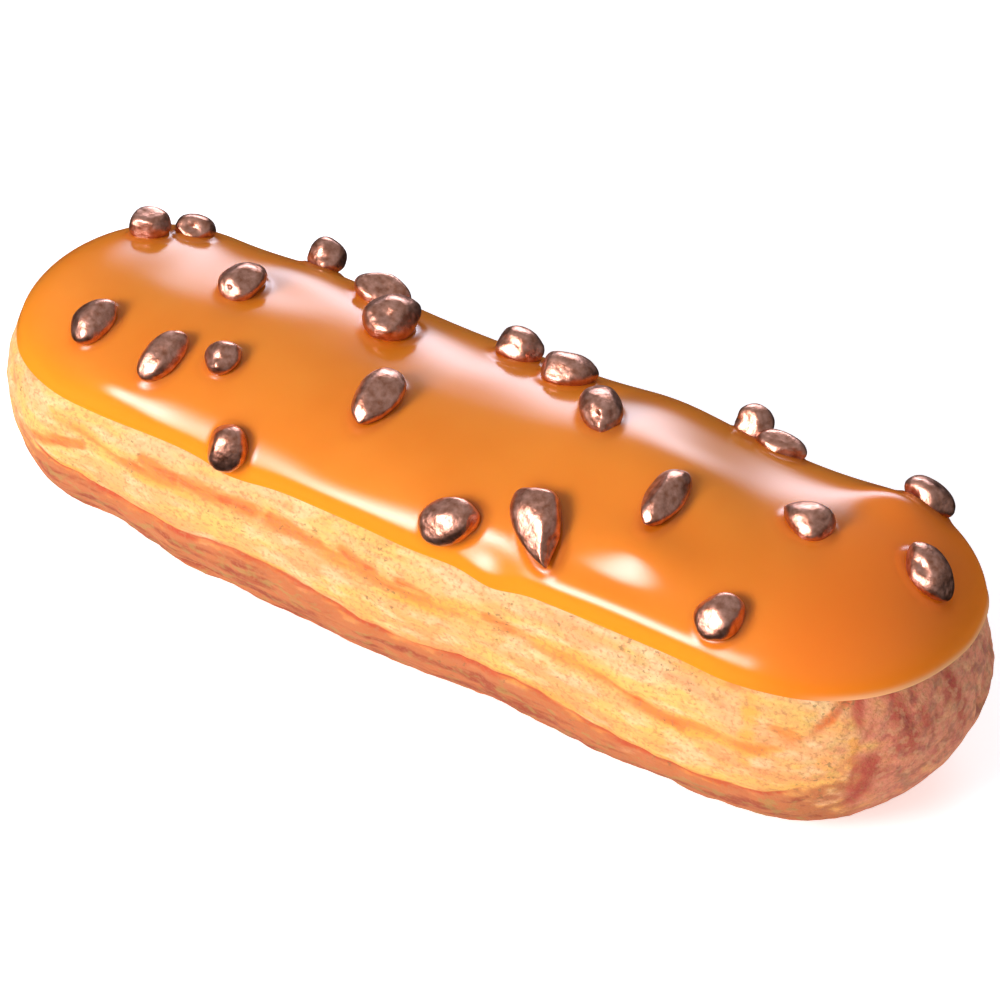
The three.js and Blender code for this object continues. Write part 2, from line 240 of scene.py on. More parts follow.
def crease_turn(ridge, x):
    wobble = CREASE_WOBBLE * np.cos(x / WOBBLE_REACH + (ridge % RIDGES - 1) * WOBBLE_SHIFT)
    return FIRST_CREASE_TURN + ridge * 360 / RIDGES + RIDGE_TWIST * x / MM + wobble


def oven_marks(places, tint):
    """How strongly the marks of one tint show at each place of the near side and the right end."""
    spine_x = np.clip(places[:, 0], -SPINE_END, SPINE_END)
    heading = np.arctan2(places[:, 1], places[:, 0] - spine_x)
    spot = np.stack([spine_x + RADIUS * (heading + math.pi / 2), places[:, 2]], axis=1)
    shows = np.zeros(len(places))
    for mark in OVEN_MARKS:
        if mark["tint"] != tint:
            continue
        start = np.array(mark["from"]) * MM
        run = np.array(mark["to"]) * MM - start
        share = np.clip((spot - start) @ run / (run @ run), 0, 1)
        away = np.linalg.norm(spot - start - share[:, None] * run, axis=1)
        shows = np.maximum(shows, mark["strength"] * bell(away, mark["width"] * MM))
    return np.where(places[:, 1] < 0, shows, 0)


def shape_shell(shell):
    """Moves the points of the pulled-out ball on to the loaf, with its ridges, creases and baked bumps."""
    start = get_points(shell)
    end = np.sign(start[:, 0])
    x = np.clip(start[:, 0], -SPINE_END, SPINE_END)
    latitude = np.arcsin(np.clip((np.abs(start[:, 0]) - SPINE_END) / RADIUS, 0, 1))
    column = np.rint(np.degrees(np.arctan2(start[:, 2], start[:, 1])) / 360 * COLUMNS) % COLUMNS
    ridge = np.floor(column / COLUMNS_PER_RIDGE)
    share = column / COLUMNS_PER_RIDGE - ridge
    turn = np.radians((1 - share) * crease_turn(ridge, x) + share * crease_turn(ridge + 1, x))
    lean = math.radians(RIDGE_LIFT) * latitude / (math.pi / 2)
    rise = np.cos(latitude) * np.sin(turn)
    direction = np.stack([
        end * (np.sin(latitude) * np.cos(lean) - rise * np.sin(lean)),
        np.cos(latitude) * np.cos(turn),
        np.sin(latitude) * np.sin(lean) + rise * np.cos(lean),
    ], axis=1)
    above_foot = ramp(direction[:, 2], *ABOVE_FOOT)
    plain = reach_along(direction, SHELL_CROWN)
    smooth = skin_points(x, direction, plain)
    nearest_crease = (ridge + np.rint(share)) % RIDGES
    off_crease = np.minimum(share, 1 - share) * 2
    stretched = smooth * np.array([0.35, 1, 1])
    broken = np.clip(0.7 + 0.8 * ripple(stretched, CREASE_BREAK_SIZE, 3), 0.1, 1.1)
    on_end = ramp(latitude, *ON_END)
    strength = broken * (1 - 0.75 * on_end) * np.where(nearest_crease == 0, 0.5, 1)
    crease = bell(off_crease, CREASE_WIDTH) * strength * above_foot
    bumps = BROAD_BUMP * ripple(smooth, BROAD_BUMP_SIZE, 1) + FINE_BUMP * ripple(smooth, FINE_BUMP_SIZE, 2)
    crest = RIDGE_CREST * (np.sin(math.pi * share) - 0.6) * (1 - on_end)
    under_glaze = ramp(smooth[:, 2], *UNDER_GLAZE)
    offset = ((bumps + crest) * above_foot - CREASE_DEPTH * crease) * (1 - 0.8 * under_glaze)
    set_points(shell, skin_points(x, direction, plain + offset))
    near_side = ramp(-smooth[:, 1], *NEAR_SIDE) * ramp(smooth[:, 0], *PAST_LEFT_END)
    creased = bell(off_crease, 0.3) * np.clip(broken + 0.2, 0, 1)
    first_crease = creased * np.where(nearest_crease == 0, 1, 0)
    near_embers = np.maximum(oven_marks(smooth, "ember"), 0.62 * first_crease)
    paint(shell, "ember", near_side * near_embers + (1 - near_side) * 0.9 * creased * (1 - on_end))
    paint(shell, "gold", np.maximum(oven_marks(smooth, "gold"), 0.8 * bell(off_crease, 0.6) * (1 - on_end)))
    paint(shell, "wine", np.maximum(oven_marks(smooth, "wine"), 0.5 * creased * on_end))
    on_seam = np.where(nearest_crease == 1, 1, 0.3)
    paint(shell, "seam", bell(off_crease, CREASE_WIDTH) * on_seam * (1 - on_end))
    low = ramp(ridge + share, 0.75, 1.25) * (1 - ramp(ridge + share, 8.75, 9.25))
    low_end = ramp(latitude, *LOW_END) * ramp(smooth[:, 2], *LOW_END_HEIGHT)
    paint(shell, "low", low * (1 - low_end))
    paint(shell, "pocked", ramp(ripple(smooth, POCKED_PATCH_SIZE, 9), 0.0, 0.4))
    paint(shell, "ruddy", ramp(smooth[:, 0], *RUDDY_X) * ramp(smooth[:, 1], *RUDDY_Y))
    paint(shell, "height", smooth[:, 2] / MM)


deselect_all()
bpy.ops.mesh.primitive_uv_sphere_add(segments=COLUMNS, ring_count=2 * END_RINGS + 1, radius=RADIUS)
shell = bpy.context.object
shell.name = "choux_shell"
shell.data.transform(Matrix.Rotation(math.pi / 2, 4, "Y"))
bpy.ops.object.mode_set(mode="EDIT")
pull_ends_apart(shell)
for _ in range(2):
    select_edges(shell, lambda a, b: runs_along(a, b, 0) and max(abs(a.x), abs(b.x)) < SPINE_END + MM)
    bpy.ops.mesh.subdivide(number_cuts=STRAIGHT_CUTS)
bpy.ops.object.mode_set(mode="OBJECT")
shape_shell(shell)
bpy.ops.object.mode_set(mode="EDIT")
bpy.ops.mesh.select_mode(type="VERT")
bpy.ops.mesh.select_all(action="SELECT")
bpy.ops.mesh.bisect(plane_co=(0, 0, 0), plane_no=(0, 0, 1), use_fill=True, clear_inner=True,
                    threshold=0.001 * MM)
bpy.ops.object.mode_set(mode="OBJECT")
bpy.ops.object.shade_smooth_by_angle(angle=math.radians(50))


def colour(hex_code, alpha=1.0):
    """A screen colour, such as d9822b, as the linear colour that the shaders take."""
    channels = [int(hex_code[i:i + 2], 16) / 255 for i in (0, 2, 4)]
    return tuple(c / 12.92 if c <= 0.04045 else ((c + 0.055) / 1.055) ** 2.4 for c in channels) + (alpha,)


def new_material(name, piece):
    material = bpy.data.materials.new(name)
    material.use_nodes = True
    material.node_tree.nodes.clear()
    piece.data.materials.clear()
    piece.data.materials.append(material)
    return material.node_tree


def add_node(tree, kind, links=None, **settings):
    """Adds a node. Links maps its inputs to other outputs or to values, and settings are its options."""
    made = tree.nodes.new(kind)
    for name, value in settings.items():
        setattr(made, name, value)
    for socket, value in (links or {}).items():
        if isinstance(value, bpy.types.NodeSocket):
            tree.links.new(value, made.inputs[socket])
        else:
            made.inputs[socket].default_value = value
    return made


# The crust's tints, each laid over those before it. A tint fades in between two levels of a patchy noise, on
# the whole crust or only where a painted mask lifts the noise, and covers by a share at most. The patches'
# size is in millimetres, and a stretch below 1 draws them out along X.
CRUST_TINTS = [
    {"tint": "f6c060", "mask": None, "size": 3, "stretch": 0.2, "levels": (0.4, 0.62), "cover": 0.85},
    {"tint": "ee9a60", "mask": None, "size": 2.2, "stretch": 0.16, "levels": (0.48, 0.66), "cover": 0.6},
    {"tint": "fad6a4", "mask": None, "size": 2, "stretch": 0.35, "levels": (0.48, 0.68), "cover": 0.55},
    {"tint": "e58f5c", "mask": None, "size": 0.9, "stretch": 0.6, "levels": (0.48, 0.7), "cover": 0.4},
    {"tint": "d0aa5c", "mask": None, "size": 1.4, "stretch": 0.6, "levels": (0.52, 0.68), "cover": 0.45},
    {"tint": "f2a83c", "mask": "gold", "size": 2.4, "stretch": 0.25, "levels": (0.15, 0.45), "cover": 0.8},
    {"tint": "ee8638", "mask": "ember", "size": 1.8, "stretch": 0.25, "levels": (-0.05, 0.35), "cover": 0.95},
    {"tint": "dc5826", "mask": "ember", "size": 1, "stretch": 0.4, "levels": (0.26, 0.6), "cover": 0.8},
    {"tint": "be6a3c", "mask": "low", "size": 1.5, "stretch": 0.4, "levels": (-0.05, 0.4), "cover": 0.92},
    {"tint": "9c4029", "mask": "low", "size": 1.4, "stretch": 0.16, "levels": (0.43, 0.61), "cover": 0.8},
    {"tint": "a9904c", "mask": "low", "size": 1.1, "stretch": 0.5, "levels": (0.5, 0.66), "cover": 0.6},
    {"tint": "c24a28", "mask": "seam", "size": 1.6, "stretch": 0.2, "levels": (0.1, 0.5), "cover": 0.9},
    {"tint": "dc8266", "mask": "ruddy", "size": 3, "stretch": 1, "levels": (0.1, 0.5), "cover": 0.85},
    {"tint": "b4524a", "mask": "ruddy", "size": 1.6, "stretch": 1, "levels": (0.48, 0.68), "cover": 0.6},
    {"tint": "ba4836", "mask": "wine", "size": 3.2, "stretch": 1, "levels": (-0.1, 0.55), "cover": 0.9},
    {"tint": "dca676", "mask": "ruddy", "size": 1.1, "stretch": 0.8, "levels": (0.48, 0.66), "cover": 0.55},
    {"tint": "8e5444", "mask": "ruddy", "size": 1.7, "stretch": 0.8, "levels": (0.48, 0.68), "cover": 0.5},
    {"tint": "bd7a48", "mask": None, "size": 0.45, "stretch": 0.8, "levels": (0.46, 0.72), "cover": 0.6},
    {"tint": "86683c", "mask": "pocked", "size": 0.55, "stretch": 0.7, "levels": (0.59, 0.68), "cover": 0.6},
]
MASK_LIFT = 0.7


def crust_material(piece):
    """Baked choux crust: matt gold with ember smears in the creases, a ruddy right end and fine pores."""
    tree = new_material("baked_choux_crust", piece)
    place = add_node(tree, "ShaderNodeTexCoord").outputs["Object"]
    height = add_node(tree, "ShaderNodeAttribute", attribute_name="height").outputs["Fac"]
    upper = add_node(tree, "ShaderNodeMapRange", {"Value": height, "From Min": 13.0, "From Max": 24.0})
    skin = add_node(tree, "ShaderNodeMix", {
        0: upper.outputs["Result"], 6: colour("efa45a"), 7: colour("f3c086"),
    }, data_type="RGBA").outputs[2]
    for row in CRUST_TINTS:
        scaled = add_node(tree, "ShaderNodeMapping", {"Vector": place, "Scale": (row["stretch"], 1, 1)})
        shows = add_node(tree, "ShaderNodeTexNoise", {
            "Vector": scaled.outputs["Vector"], "Scale": 1 / (row["size"] * MM), "Detail": 3.0,
        }).outputs["Fac"]
        lift = 0
        if row["mask"]:
            mask = add_node(tree, "ShaderNodeAttribute", attribute_name=row["mask"]).outputs["Fac"]
            lift = MASK_LIFT
            shows = add_node(tree, "ShaderNodeMath", {
                0: mask, 1: MASK_LIFT, 2: shows,
            }, operation="MULTIPLY_ADD").outputs["Value"]
        share = add_node(tree, "ShaderNodeMapRange", {
            "Value": shows, "From Min": row["levels"][0] + lift, "From Max": row["levels"][1] + lift,
            "To Max": row["cover"],
        }, interpolation_type="SMOOTHSTEP").outputs["Result"]
        skin = add_node(tree, "ShaderNodeMix", {
            0: share, 6: skin, 7: colour(row["tint"]),
        }, data_type="RGBA").outputs[2]
    grain = add_node(tree, "ShaderNodeTexNoise", {"Vector": place, "Scale": 1 / (0.4 * MM), "Detail": 4.0})
    drawn = add_node(tree, "ShaderNodeMapping", {"Vector": place, "Scale": (0.35, 1, 1)}).outputs["Vector"]
    crumb = add_node(tree, "ShaderNodeTexNoise", {"Vector": drawn, "Scale": 1 / (1.4 * MM), "Detail": 4.0})
    relief = add_node(tree, "ShaderNodeMath", {
        0: grain.outputs["Fac"], 1: 0.35, 2: crumb.outputs["Fac"],
    }, operation="MULTIPLY_ADD")
    bump = add_node(tree, "ShaderNodeBump", {
        "Height": relief.outputs["Value"], "Strength": 0.8, "Distance": 0.4 * MM,
    })
    shader = add_node(tree, "ShaderNodeBsdfPrincipled", {
        "Base Color": skin, "Roughness": 0.72, "IOR": 1.45, "Normal": bump.outputs["Normal"],
        "Subsurface Weight": 0.12, "Subsurface Radius": (1.0, 0.5, 0.25), "Subsurface Scale": 1.2 * MM,
    })
    add_node(tree, "ShaderNodeOutputMaterial", {"Surface": shader.outputs["BSDF"]})


crust_material(shell)
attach(shell, "root")
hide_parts("choux")

# The caramel glaze
# Caramel fondant, poured warm over the top and set: glossy and slightly see-through, thin and yellower at
# its wavy rim, where it ends in a rounded lip, and drawn up a little round each nib.
BEDDING = 0.1 * MM
LIP_THINNING = 0.3 * MM
LIP_REACH = 0.05
LEAST_SKIN = 0.15 * MM
RIM_HEIGHT = 25.2 * MM
RIM_WAVES = [
    {"x": -60, "y": -12, "reach": 4, "rise": -0.8},
    {"x": -24, "y": -20, "reach": 5, "rise": -0.9},
    {"x": 3, "y": -20, "reach": 7, "rise": -0.5},
    {"x": 14, "y": -20, "reach": 4, "rise": -1.2},
    {"x": 46, "y": -20, "reach": 4, "rise": -0.4},
    {"x": 68, "y": 4, "reach": 6, "rise": -0.6},
    {"x": 40, "y": 20, "reach": 7, "rise": -0.9},
    {"x": 10, "y": 20, "reach": 5, "rise": -0.5},
    {"x": -20, "y": 20, "reach": 6, "rise": -1.0},
    {"x": -66, "y": 12, "reach": 7, "rise": -0.5},
]
# Where the glaze alone has run thicker or thinner, given as the shell's swells are. Most lie along the near
# rim.
GLAZE_HILLS = [
    {"x": -44, "turn": 142, "along": 6, "round": 10, "rise": 0.9},
    {"x": -9, "turn": 148, "along": 12, "round": 10, "rise": 0.5},
    {"x": 13, "turn": 146, "along": 4, "round": 6, "rise": -0.5},
    {"x": 21, "turn": 146.5, "along": 6, "round": 7, "rise": 0.45},
    {"x": 30, "turn": 145, "along": 7, "round": 7, "rise": 0.45},
    {"x": 42, "turn": 146, "along": 9, "round": 7, "rise": 0.55},
    {"x": 28, "turn": 138, "along": 6, "round": 4, "rise": -0.15},
    {"x": 31, "turn": 124.5, "along": 6, "round": 8, "rise": 1.0},
    {"x": 32, "turn": 92, "along": 8, "round": 22, "rise": 0.9},
    {"x": 53, "turn": 61, "along": 5, "round": 9, "rise": 1.3},
    {"x": 67, "turn": 46, "along": 8, "round": 14, "rise": 0.8},
]
GLAZE_RIPPLE = 0.1 * MM
GLAZE_RIPPLE_SIZE = 11 * MM
GLAZE_END_STEPS = 90
GLAZE_CUTS = 14
OUTER_BAND = 80 * MM
LIP_BAND = 8 * MM
INNER_BAND = 8 * MM
OUTER_CUTS = 80
LIP_CUTS = 9
MENISCUS_RISE = 0.3 * MM
MENISCUS_REACH = 0.6 * MM
# How far and how strongly painted shade darkens the glaze round each nib.
NIB_SHADE_REACH = 1.1 * MM
NIB_SHADE_STRENGTH = 0.6
# Widths of the thin rim and its painted lip reflection, as shares of the way up, and where they change along
# X.
THIN_WIDTH = 0.16
LIP_GLINT_WIDTH = 0.02
# Painted shade on the right end begins along X here, and the painted lip reflection further on.
END_SHADE_X = (40 * MM, 58 * MM)
LIP_GLINT_END = (54 * MM, 62 * MM)

# Where each nib lies and its size, in millimetres, where its long axis points in plan, in degrees, and how
# far that end narrows.
NIBS = [
    {"x": -55.5, "y": 7, "length": 5.6, "width": 4.8, "height": 4.6, "heading": 20, "point": 0},
    {"x": -51.5, "y": 11.5, "length": 5.4, "width": 4.6, "height": 3.4, "heading": 35, "point": 0.1},
    {"x": -50.3, "y": -11.8, "length": 7, "width": 5, "height": 3.8, "heading": 72, "point": 0.15},
    {"x": -39, "y": -12.5, "length": 7.8, "width": 4.6, "height": 3.6, "heading": 78, "point": 0},
    {"x": -31.5, "y": -10, "length": 4.8, "width": 4.4, "height": 3.6, "heading": 55, "point": 0.1},
    {"x": -37.4, "y": 2.6, "length": 7, "width": 5.4, "height": 4.2, "heading": 80, "point": 0.1},
    {"x": -25, "y": -18, "length": 5.8, "width": 5.4, "height": 4.2, "heading": 95, "point": 0},
    {"x": -34.6, "y": 16, "length": 5.1, "width": 4.8, "height": 5.1, "heading": 10, "point": 0},
    {"x": -22.2, "y": 11.8, "length": 8, "width": 5.2, "height": 4.5, "heading": 0, "point": 0.3},
    {"x": -17, "y": 6.3, "length": 8.2, "width": 6.8, "height": 5.4, "heading": 80, "point": 0.1},
    {"x": -10.2, "y": -7.4, "length": 9, "width": 5.4, "height": 4.2, "heading": 268, "point": 0.2},
    {"x": -1.5, "y": 11.5, "length": 6.6, "width": 5.4, "height": 4.6, "heading": 5, "point": 0.1},
    {"x": 6.8, "y": 9.5, "length": 7.6, "width": 6, "height": 4.3, "heading": 20, "point": 0.1},
    {"x": 16, "y": 2.4, "length": 8, "width": 5.2, "height": 4.2, "heading": -50, "point": 0.1},
    {"x": 30.4, "y": 14.8, "length": 5.1, "width": 4.8, "height": 4.9, "heading": -20, "point": 0.2},
    {"x": 35, "y": 14, "length": 7, "width": 4.7, "height": 3.4, "heading": -10, "point": 0.1},
    {"x": 30.4, "y": -6.1, "length": 9.2, "width": 4.8, "height": 3.8, "heading": 270, "point": 0.15},
    {"x": 7, "y": -16.6, "length": 8.2, "width": 5.6, "height": 4, "heading": 45, "point": 0.1},
    {"x": 18, "y": -14.1, "length": 11.2, "width": 5.8, "height": 4.4, "heading": -58, "point": 0.45},
    {"x": 46.3, "y": 0, "length": 6.8, "width": 5, "height": 3.8, "heading": 172, "point": 0.25},
    {"x": 43.8, "y": -15.5, "length": 6.2, "width": 5.6, "height": 4.2, "heading": 60, "point": 0},
    {"x": 54.5, "y": 14, "length": 6.8, "width": 5.6, "height": 4, "heading": 0, "point": 0.1},
    {"x": 61.2, "y": 1.8, "length": 8.2, "width": 5.4, "height": 3.8, "heading": -15, "point": 0.1},
]


def glaze_seat(x, y):
    """The place on the glaze over a point of the plan, and the direction that faces out of it there."""
    spine_x = max(-SPINE_END, min(SPINE_END, x))
    flat = Vector((x - spine_x, y, 0))
    tall = GLAZED_HEIGHT - SPINE_HEIGHT
    out = flat.length / RADIUS
    rise = tall * (1 - out ** SECTION_POWER) ** (1 / SECTION_POWER)
    direction = np.array([Vector((flat.x, flat.y, rise)).normalized()])
    reach = reach_along(direction, GLAZED_HEIGHT)
    turn = np.degrees(np.arctan2(direction[:, 2], direction[:, 1]))
    reach = reach + swell_at(spine_x + direction[:, 0] * reach, turn, GLAZE_HILLS)
    seat = skin_points(np.array([spine_x]), direction, reach)[0]
    normal = flat.normalized() * (out ** (SECTION_POWER - 1) / RADIUS)
    normal.z = (rise / tall) ** (SECTION_POWER - 1) / tall
    return Vector(seat), normal.normalized()


def nib_axes(nib):
    """A nib's seat on the glaze, and its long axis, its side and its top as the columns of a turn."""
    seat, normal = glaze_seat(nib["x"] * MM, nib["y"] * MM)
    heading = math.radians(nib["heading"])
    along = Vector((math.cos(heading), math.sin(heading), 0))
    along = (along - normal * along.dot(normal)).normalized()
    return seat, Matrix((along, normal.cross(along), normal)).transposed()


def rim_climb(heading, x):
    """How steeply the spine looks up at the rim, at each heading round the plan."""
    rim_x = x + RADIUS * np.cos(heading)
    rim_y = RADIUS * np.sin(heading)
    height = np.full_like(x, RIM_HEIGHT)
    for wave in RIM_WAVES:
        away = np.hypot(rim_x - wave["x"] * MM, rim_y - wave["y"] * MM)
        height += wave["rise"] * MM * bell(away, wave["reach"] * MM)
    tall = (height - SPINE_HEIGHT) / (GLAZED_HEIGHT - SPINE_HEIGHT)
    flat = RADIUS * (1 - tall ** SECTION_POWER) ** (1 / SECTION_POWER)
    return np.arctan2(height - SPINE_HEIGHT, flat)


def look(heading, climb):
    return np.stack([np.cos(climb) * np.cos(heading), np.cos(climb) * np.sin(heading), np.sin(climb)], axis=1)


def beside_nibs(places, reach):
    """How near each place of the glaze is to a nib, from 1 at its foot down to 0 beyond the reach."""
    near = np.zeros(len(places))
    for nib in NIBS:
        seat, turned = nib_axes(nib)
        local = (places - np.array(seat)) @ np.array(turned)
        across = np.hypot(local[:, 0] / nib["length"], local[:, 1] / nib["width"]) / (0.46 * MM)
        away = (across - 1) * 0.25 * (nib["length"] + nib["width"]) * MM
        near = np.maximum(near, bell(np.maximum(away, 0), reach))
    return near


def shape_glaze(glaze):
    """Moves the upright wall's points on to the glaze, their height giving the way up it or round its lip."""
    start = get_points(glaze)
    x = np.clip(start[:, 0], -SPINE_END, SPINE_END)
    heading = np.arctan2(start[:, 1], start[:, 0] - x)
    level = start[:, 2]
    rim = rim_climb(heading, x)
    outer_share = np.clip(level / OUTER_BAND, 0, 1)
    inner_share = np.clip((-LIP_BAND - level) / INNER_BAND, 0, 1)
    roll = math.pi * np.clip(-level / LIP_BAND, 0, 1)

    way_out = look(heading, rim + outer_share * (math.pi / 2 - rim))
    way_in = look(heading, rim + inner_share * (math.pi / 2 - rim))
    reach = reach_along(way_out, GLAZED_HEIGHT)
    outer = skin_points(x, way_out, reach)
    turn = np.degrees(np.arctan2(way_out[:, 2], way_out[:, 1]))
    reach += GLAZE_RIPPLE * ripple(outer, GLAZE_RIPPLE_SIZE, 5, 1) * ramp(outer_share, 0, 0.2)
    reach += swell_at(outer[:, 0], turn, GLAZE_HILLS) - LIP_THINNING * bell(outer_share, LIP_REACH)
    bed = reach_along(way_out, SHELL_CROWN) - BEDDING
    skin = (reach - bed + np.sqrt((reach - bed) ** 2 + 4 * LEAST_SKIN ** 2)) / 2
    skin += MENISCUS_RISE * beside_nibs(outer, MENISCUS_REACH)
    outer = skin_points(x, way_out, bed + skin)
    inner = skin_points(x, way_in, reach_along(way_in, SHELL_CROWN) - BEDDING)
    middle = (outer + inner) / 2
    across = (outer - inner) / 2
    down = look(heading, rim - math.pi / 2) * np.linalg.norm(across, axis=1)[:, None]
    lip = middle + across * np.cos(roll)[:, None] + down * np.sin(roll)[:, None]
    on_lip = ((level < 0) & (level > -LIP_BAND))[:, None]
    set_points(glaze, np.where(on_lip, lip, np.where(level[:, None] >= 0, outer, inner)))
    # Painted shade at the right end, which faces away from the lights: a redder tint and less of the yellow
    # rim.
    right_end = ramp(outer[:, 0], *END_SHADE_X)
    paint(glaze, "thin", np.where(level > 0, bell(outer_share, THIN_WIDTH), 1) * (1 - 0.75 * right_end))
    paint(glaze, "end_shade", right_end)
    # A painted reflection along the lip at the right end.
    edge = np.where(level > 0, bell(outer_share, LIP_GLINT_WIDTH), 1)
    paint(glaze, "lip_glint", edge * ramp(outer[:, 0], *LIP_GLINT_END))
    # Painted shade round each nib, where the nib shades the glaze.
    paint(glaze, "nib_shade", NIB_SHADE_STRENGTH * beside_nibs(outer, NIB_SHADE_REACH))


deselect_all()
bpy.ops.mesh.primitive_circle_add(vertices=2 * GLAZE_END_STEPS, radius=RADIUS)
glaze = bpy.context.object
glaze.name = "caramel_glaze"
glaze.data.transform(Matrix.Rotation(math.pi / (2 * GLAZE_END_STEPS), 4, "Z"))
bpy.ops.object.mode_set(mode="EDIT")
pull_ends_apart(glaze)
for _ in range(2):
    select_edges(glaze, lambda a, b: runs_along(a, b, 0) and max(abs(a.x), abs(b.x)) < SPINE_END + MM)
    bpy.ops.mesh.subdivide(number_cuts=GLAZE_CUTS)
# Up the skin from the rim, down the lip, and from the lip on down for the side that lies on the shell.
bands = [
    (0, OUTER_BAND, OUTER_CUTS),
    (0, -LIP_BAND, LIP_CUTS),
    (-LIP_BAND, -LIP_BAND - INNER_BAND, LIP_CUTS),
]
for from_level, to_level, cuts in bands:
    select_edges(glaze, lambda a, b: abs(a.z - from_level) < 1e-6 and abs(b.z - from_level) < 1e-6)
    bpy.ops.mesh.extrude_edges_move(TRANSFORM_OT_translate={"value": (0, 0, to_level - from_level)})
    low, high = sorted((from_level, to_level))
    select_edges(glaze, lambda a, b: runs_along(a, b, 2) and abs((a.z + b.z) / 2 - (low + high) / 2) < 1e-6)
    bpy.ops.mesh.subdivide(number_cuts=cuts)
bpy.ops.object.mode_set(mode="OBJECT")
shape_glaze(glaze)
bpy.ops.object.mode_set(mode="EDIT")
bpy.ops.mesh.select_mode(type="VERT")
bpy.ops.mesh.select_all(action="SELECT")
bpy.ops.mesh.remove_doubles(threshold=0.001 * MM)
bpy.ops.mesh.normals_make_consistent(inside=False)
bpy.ops.object.mode_set(mode="OBJECT")
bpy.ops.object.shade_smooth()


# The caramel's tints, each laid over those before it where its painted mask, or for the first one a cloudy
# noise, shows.
CARAMEL_TINTS = [
    (None, "ee8c28"),
    # A redder tint: painted shade for the right end, which faces away from the lights.
    ("end_shade", "f07c1a"),
    ("thin", "f8931c"),
    # A pale tint along the lip at the right end: a painted reflection.
    ("lip_glint", "ffb880"),
    # A darker ring round each nib: painted shade.
    ("nib_shade", "c2590c"),
]


def caramel_material(piece):
    """Set caramel fondant: a wet gloss over a softly glowing body, yellower where it thins to the rim, with
    painted shade on the right end, a painted reflection on its lip there and painted shade beside the nibs."""
    tree = new_material("caramel_fondant", piece)
    place = add_node(tree, "ShaderNodeTexCoord").outputs["Object"]
    clouds = add_node(tree, "ShaderNodeTexNoise", {"Vector": place, "Scale": 1 / (14 * MM), "Detail": 2.0})
    share = add_node(tree, "ShaderNodeMapRange", {
        "Value": clouds.outputs["Fac"], "From Min": 0.3, "From Max": 0.7,
    }).outputs["Result"]
    body = colour("e8821e")
    for mask, tint in CARAMEL_TINTS:
        if mask:
            share = add_node(tree, "ShaderNodeAttribute", attribute_name=mask).outputs["Fac"]
        body = add_node(tree, "ShaderNodeMix", {
            0: share, 6: body, 7: colour(tint),
        }, data_type="RGBA").outputs[2]
    shader = add_node(tree, "ShaderNodeBsdfPrincipled", {
        "Base Color": body, "Roughness": 0.16, "IOR": 1.46,
        "Subsurface Weight": 0.2, "Subsurface Radius": (1.0, 0.45, 0.12), "Subsurface Scale": 2 * MM,
    })
    add_node(tree, "ShaderNodeOutputMaterial", {"Surface": shader.outputs["BSDF"]})


caramel_material(glaze)
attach(glaze, "root")
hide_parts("glaze")

# The nibs
# Crushed and caramelised cocoa nibs, rolled in bronze lustre powder: hard, glossy, chipped into soft facets
# and dents, dropped on while the glaze was wet so that each has sunk in a little.
NIB_SINK = 0.9 * MM
NIB_FACETS = 8
FACET_DISTANCES = (0.88, 1.05)
NEAREST_FACETS = 0.6
NIB_EDGE = 12
NIB_FULLNESS = 1.06
NIB_ROUGHNESS = 0.02
NIB_ROUGHNESS_SIZE = 0.45

# Flats chipped off the nibs, and dents in them, by the nib's place in the list. Each faces a bearing, counted
# from the front towards the right end, and a height, in degrees. Then come a flat's distance from the middle,
# or a dent's width and depth, as shares of the nib.
NIB_FLATS = {
    1: [(0, 88, 0.75), (-80, 8, 0.8), (15, 12, 0.82)],
    2: [(25, 48, 0.7)],
    3: [(-45, 25, 0.85), (60, 40, 0.8), (-4, 38, 0.92)],
    4: [(0, 34, 0.84), (75, 30, 0.8)],
    5: [(-30, 40, 0.75), (50, 45, 0.75)],
    6: [(-2, 34, 0.82), (60, 60, 0.85)],
    7: [(-55, 20, 0.82), (25, 25, 0.85)],
    8: [(-20, 30, 0.8), (60, 50, 0.8)],
    9: [(14, 66, 0.62), (60, 20, 0.75), (0, 30, 0.92)],
    10: [(-8, 36, 0.86), (15, 66, 0.78), (80, 25, 0.8)],
    11: [(0, 38, 0.86), (60, 55, 0.75)],
    12: [(0, 40, 0.75), (-70, 35, 0.8), (70, 30, 0.8)],
    13: [(0, 46, 0.8), (-60, 20, 0.8)],
    14: [(-20, 28, 0.8), (60, 30, 0.75)],
    15: [(-5, 35, 0.7), (70, 40, 0.75)],
    16: [(35, 22, 0.75), (0, 80, 0.8), (0, 42, 0.92)],
    17: [(-75, 50, 0.75), (0, 42, 0.8), (70, 45, 0.72)],
    18: [(-8, 30, 0.85), (150, 35, 0.85), (80, 30, 0.8)],
    19: [(-12, 37, 0.72), (60, 30, 0.7), (-170, 40, 0.8)],
    20: [(5, 38, 0.84), (70, 30, 0.8)],
    21: [(-5, 36, 0.84), (60, 60, 0.85), (80, 10, 0.8)],
    22: [(-6, 42, 0.84), (70, 40, 0.8)],
    23: [(-50, 30, 0.75), (80, 30, 0.75), (-4, 38, 0.86)],
}
NIB_DENTS = {
    2: [(25, 48, 0.35, 0.14)],
    4: [(10, 62, 0.5, 0.22)],
    5: [(5, 45, 0.25, 0.12)],
    6: [(-2, 36, 0.1, 0.07), (50, 75, 0.4, 0.08)],
    8: [(20, 40, 0.3, 0.12)],
    10: [(20, 60, 0.3, 0.1)],
    12: [(-40, 50, 0.25, 0.08)],
    14: [(0, 52, 0.25, 0.1)],
    15: [(-60, 20, 0.3, 0.15)],
    18: [(20, 72, 0.5, 0.12)],
    19: [(10, 70, 0.3, 0.1)],
    20: [(60, 60, 0.35, 0.1)],
    22: [(-30, 10, 0.35, 0.15)],
    23: [(15, 62, 0.4, 0.2)],
}


